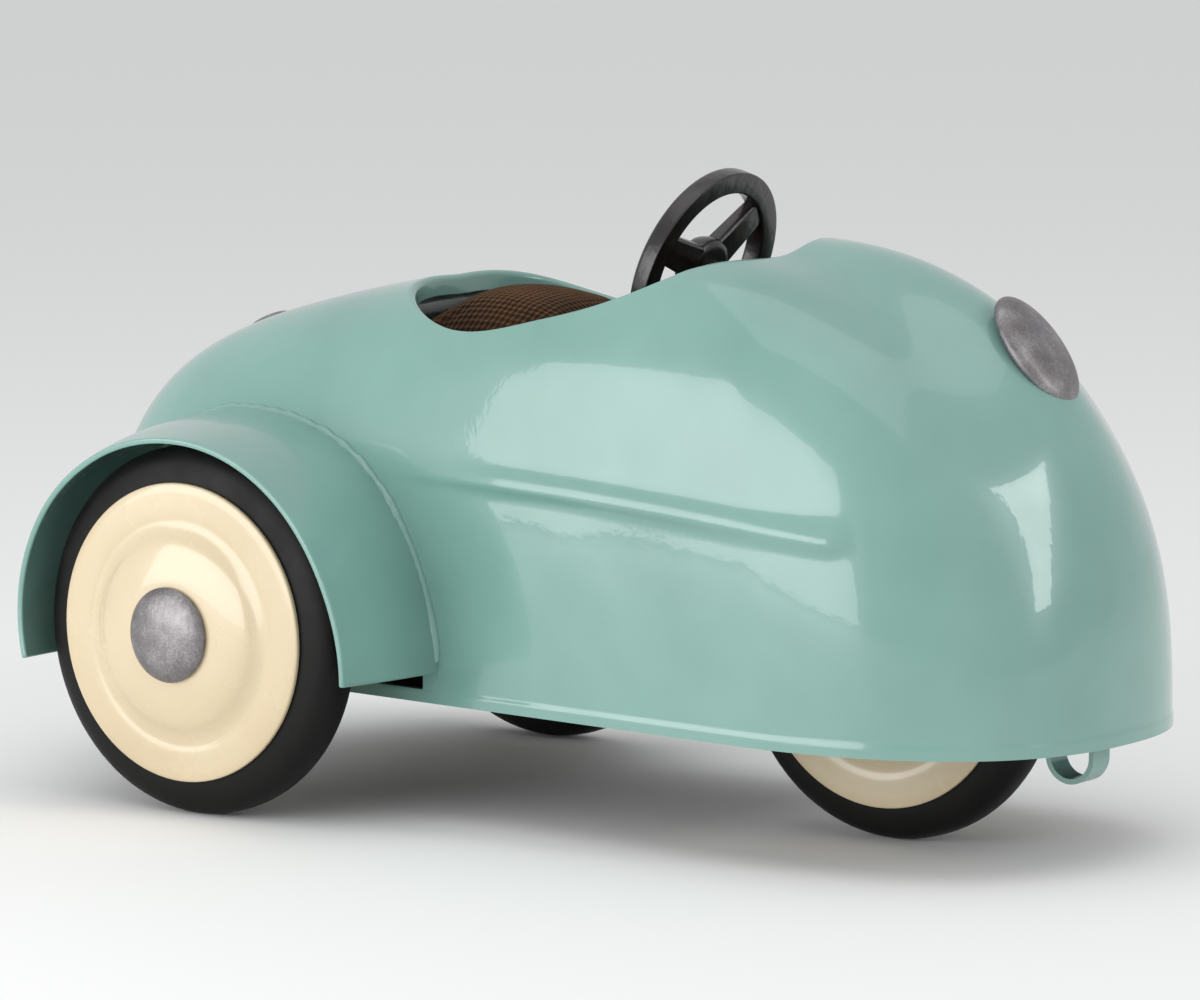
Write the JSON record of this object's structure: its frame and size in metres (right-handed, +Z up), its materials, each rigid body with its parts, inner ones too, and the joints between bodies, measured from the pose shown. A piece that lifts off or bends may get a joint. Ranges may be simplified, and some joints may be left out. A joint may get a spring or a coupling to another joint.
{
  "type": "miniature pedal car",
  "caption": "Small three-wheeled pressed-metal toy pedal car with rounded nose, open cockpit, cloth seat pad, steering wheel linked to the nose wheel and fendered rear wheels.",
  "frame": {"origin": "middle of the bounding box on the ground", "axes": "+X forward along the car, +Y to its left, +Z up"},
  "size_m": [0.166, 0.0976, 0.0876],
  "materials": {
    "body_enamel": "gloss",
    "black_enamel": "gloss",
    "cream_enamel": "gloss",
    "silver_paint": "satin",
    "rubber": "satin",
    "brown_cloth": "woven, matt",
    "bare_steel": "satin"
  },
  "bodies": {
    "car_body": {"body_shell": "body_enamel", "fender_left": "body_enamel", "fender_right": "body_enamel", "tow_loop": "body_enamel", "floor_pan": "black_enamel", "chassis_rail_left": "black_enamel", "chassis_rail_right": "black_enamel", "axle_bracket_left": "black_enamel", "axle_bracket_right": "black_enamel", "seat_box": "black_enamel", "seat_cushion": "brown_cloth", "fork_carrier": "black_enamel", "column_bracket": "black_enamel", "floor_rivets": "bare_steel", "rear_axle": "bare_steel", "headlight": "silver_paint", "tail_lamp": "silver_paint"},
    "steering": {"steering_wheel": "black_enamel", "steering_column": "black_enamel", "drop_arm": "black_enamel", "column_collar": "bare_steel"},
    "front_fork": {"fork": "black_enamel", "fork_clip": "bare_steel", "front_axle": "bare_steel"},
    "front_wheel": {"front_tyre": "rubber", "front_disc_left": "cream_enamel", "front_disc_right": "cream_enamel", "front_hub": "bare_steel"},
    "rear_wheel_left": {"rear_left_tyre": "rubber", "rear_left_disc_outer": "cream_enamel", "rear_left_disc_inner": "cream_enamel", "rear_left_hub": "bare_steel", "rear_left_cap": "silver_paint"},
    "rear_wheel_right": {"rear_right_tyre": "rubber", "rear_right_disc_outer": "cream_enamel", "rear_right_disc_inner": "cream_enamel", "rear_right_hub": "bare_steel", "rear_right_cap": "silver_paint"}
  },
  "joints": [
    {"name": "fork_steer", "type": "hinge", "parent": "car_body", "child": "front_fork", "pos_m": [0.0473, 0, 0.05], "axis": [0, 0, 1], "range_deg": [-27, 27]},
    {"name": "wheel_steer", "type": "hinge", "parent": "car_body", "child": "steering", "pos_m": [0.0156, 0, 0.074], "axis": [0.9367, 0, -0.3502], "range_deg": [-28.5, 28.5]},
    {"name": "front_wheel_spin", "type": "hinge", "parent": "front_fork", "child": "front_wheel", "pos_m": [0.0473, 0, 0.0238], "axis": [0, 1, 0], "continuous": true},
    {"name": "rear_wheel_left_spin", "type": "hinge", "parent": "car_body", "child": "rear_wheel_left", "pos_m": [-0.0387, 0.0396, 0.025], "axis": [0, 1, 0], "continuous": true},
    {"name": "rear_wheel_right_spin", "type": "hinge", "parent": "car_body", "child": "rear_wheel_right", "pos_m": [-0.0387, -0.0396, 0.025], "axis": [0, 1, 0], "continuous": true}
  ],
  "couplings": [
    {"joint": "wheel_steer", "follows": "fork_steer", "ratio": -1.05}
  ]
}
